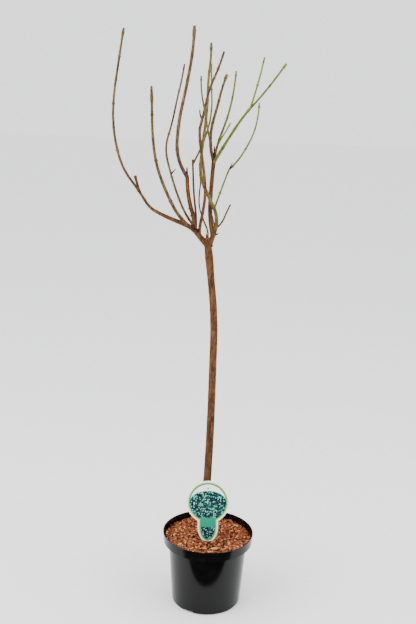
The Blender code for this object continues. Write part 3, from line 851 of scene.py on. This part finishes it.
def flat_ground(name, outline):
    """A filled outline in the card's own plane, for leaves to be scattered on."""
    mesh = bpy.data.meshes.new(name)
    mesh.from_pydata([(x, y, 0) for x, y in outline], [], [tuple(range(len(outline)))])
    return mesh


leaf = shard("leaf", LEAF_LENGTH, LEAF_WIDTH, INK_THICKNESS, 0.9)
# colour, leaves in a square metre, seed, layer, largest size
LEAF_INKS = {"teal": ("1E7464", 38000, 12, 3, 1.0), "dark": ("0A0E1E", 46000, 11, 5, 1.25),
             "mint": ("86CEB8", 24000, 13, 7, 1.0)}
for ground_name, outline in (("crown", foliage), ("tongue", tongue)):
    ground = flat_ground(ground_name, outline)
    for tone, (hex_colour, density, seed, layer, largest) in LEAF_INKS.items():
        finish = plain_finish(f"{tone}_leaf_ink", hex_colour, 0.4)
        piece = scattered(f"print_{ground_name}_{tone}", ground, leaf, finish, Density=density, Smallest=0.5,
                          Largest=largest, Tilt=0.0, Lift=INK_THICKNESS, Seed=seed)
        piece.data.transform(label_place @ Matrix.Translation((0, 0, INK_THICKNESS * layer)))
        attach(piece, "root")
bpy.data.objects.remove(leaf)

# %% [markdown]
# ## Buds
# Each leaf node on a first-year shoot carries two small dark buds, and the next pair stands crosswise.
# A bud is a low ball of few faces, pushed against the bark.

# %% Buds
BUD_HALF_SIZES = (0.00136, 0.00136, 0.00192)
BUD_SEAT = 0.98
# radians from one shoot to the next, so that their buds face different ways
SHOOT_TURN = 1.3


def ball(shape, centre, turn, scale):
    """Add a low-polygon ball to a mesh in the making."""
    matrix = Matrix.Translation(centre) @ turn @ Matrix.Diagonal((*scale, 1))
    bmesh.ops.create_icosphere(shape, subdivisions=1, radius=1, matrix=matrix)


def merged_piece(name, shape, finish):
    """Finish a mesh in the making as a smooth piece."""
    bmesh.ops.recalc_face_normals(shape, faces=shape.faces)
    mesh = bpy.data.meshes.new(name)
    shape.to_mesh(mesh)
    shape.free()
    mesh.shade_smooth()
    mesh.materials.append(finish)
    piece = bpy.data.objects.new(name, mesh)
    bpy.context.scene.collection.objects.link(piece)
    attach(piece, "root")
    return piece


buds = bmesh.new()
for order, (name, (_, _, length, foot_width, tip_width, _, _, bark, _)) in enumerate(LIMBS.items()):
    if bark != "young_bark":
        continue
    radius = limb_radius(length, foot_width, tip_width, True)
    for rank, distance in enumerate(node_places(length)):
        centre = point_at(walked[name], distance / length)
        heading = (point_at(walked[name], min(distance / length + 0.01, 1)) - centre).normalized()
        for half in (0, 1):
            angle = order * SHOOT_TURN + rank * pi / 2 + half * pi
            out = Vector((cos(angle), sin(angle), 0))
            out = (out - heading * out.dot(heading)).normalized()
            spot = centre + out * radius(distance) * BUD_SEAT
            ball(buds, spot, heading.to_track_quat("Z", "Y").to_matrix().to_4x4(), BUD_HALF_SIZES)
buds_piece = merged_piece("leaf_buds", buds, plain_finish("bud_scales", "35201A", 0.7))
print("bud faces", len(buds_piece.data.polygons))

# %% [markdown]
# ## Pruning wounds
# The stump at the fork was cut twice, and healed cuts show paler wood. Each is a flat ball on the bark,
# which gives it the soft rim that a healed cut has.

# %% Pruning wounds
WOUND_HALF_THICKNESS = 0.0016
STUMP = walked["fork_knob"]
WOUNDS = ((STUMP[-1], Vector((0.05, -0.8, 0.6)), 0.0030, 0.0038, 0.0020),
          (STUMP[len(STUMP) // 3], Vector((0.1, -1, -0.1)), 0.0046, 0.0030, 0.0046))
cuts = bmesh.new()
for centre, out, half_width, half_height, depth in WOUNDS:
    out.normalize()
    ball(cuts, centre + out * depth, out.to_track_quat("Z", "Y").to_matrix().to_4x4(),
         (half_width, half_height, WOUND_HALF_THICKNESS))
merged_piece("pruning_wounds", cuts, rough_finish("healed_wood", "7E5A3E", "B08A66", 0.8, 1.5))
print("wounds", len(WOUNDS))

# %% [markdown]
# ## Floor and light
# A plain pale floor and soft light from both sides, as in a nursery's photo corner. The floor isn't part
# of the object, so it doesn't ride with the root. A glossy black pot shows only what it mirrors, and the
# real one mirrors a dark place in front of it. A matt black card lies there, seen in reflections alone.

# %% Stage and light
FLOOR_REACH = 15.0
CARD_START = 0.212
CARD_REACH = 3.0
CARD_HALF_WIDTH = 2
CARD_HEIGHT = 0.002
ROOM_STRENGTH = 1.8
SOFTBOX_SIZE = 2.8


def level_sheet(name, half_width, front, back, height, finish):
    """A level rectangle between two places on Y."""
    mesh = bpy.data.meshes.new(name)
    corners = ((-half_width, front), (half_width, front), (half_width, back), (-half_width, back))
    mesh.from_pydata([(x, y, height) for x, y in corners], [], [(0, 1, 2, 3)])
    mesh.materials.append(finish)
    sheet = bpy.data.objects.new(name, mesh)
    bpy.context.scene.collection.objects.link(sheet)
    return sheet


floor = level_sheet("floor", FLOOR_REACH, -FLOOR_REACH, FLOOR_REACH, 0,
                    plain_finish("matt_white_floor", "FAFAFA", 0.7))
card = level_sheet("black_card", CARD_HALF_WIDTH, -CARD_REACH, -CARD_START, CARD_HEIGHT,
                   plain_finish("matt_black_card", "020202", 0.9))
card.visible_camera = False
card.visible_diffuse = False
card.visible_shadow = False

world = bpy.data.worlds.new("pale_room")
world.use_nodes = True
world.node_tree.nodes["Background"].inputs["Color"].default_value = linear("FAFBFC")
world.node_tree.nodes["Background"].inputs["Strength"].default_value = ROOM_STRENGTH
bpy.context.scene.world = world


def soft_light(name, place, aim, size, watts):
    """A square area light that faces a point."""
    lamp = bpy.data.lights.new(name, "AREA")
    lamp.size = size
    lamp.energy = watts
    holder = bpy.data.objects.new(name, lamp)
    bpy.context.scene.collection.objects.link(holder)
    direction = Vector(aim) - Vector(place)
    turn = direction.to_track_quat("-Z", "Y").to_matrix().to_4x4()
    holder.matrix_world = Matrix.Translation(Vector(place)) @ turn


soft_light("left_softbox", (-2.4, -1.4, 2.6), (0, 0, 0.8), SOFTBOX_SIZE, 110)
soft_light("right_softbox", (2.4, -1.0, 2.0), (0, 0, 0.8), SOFTBOX_SIZE, 60)
print("lights set")
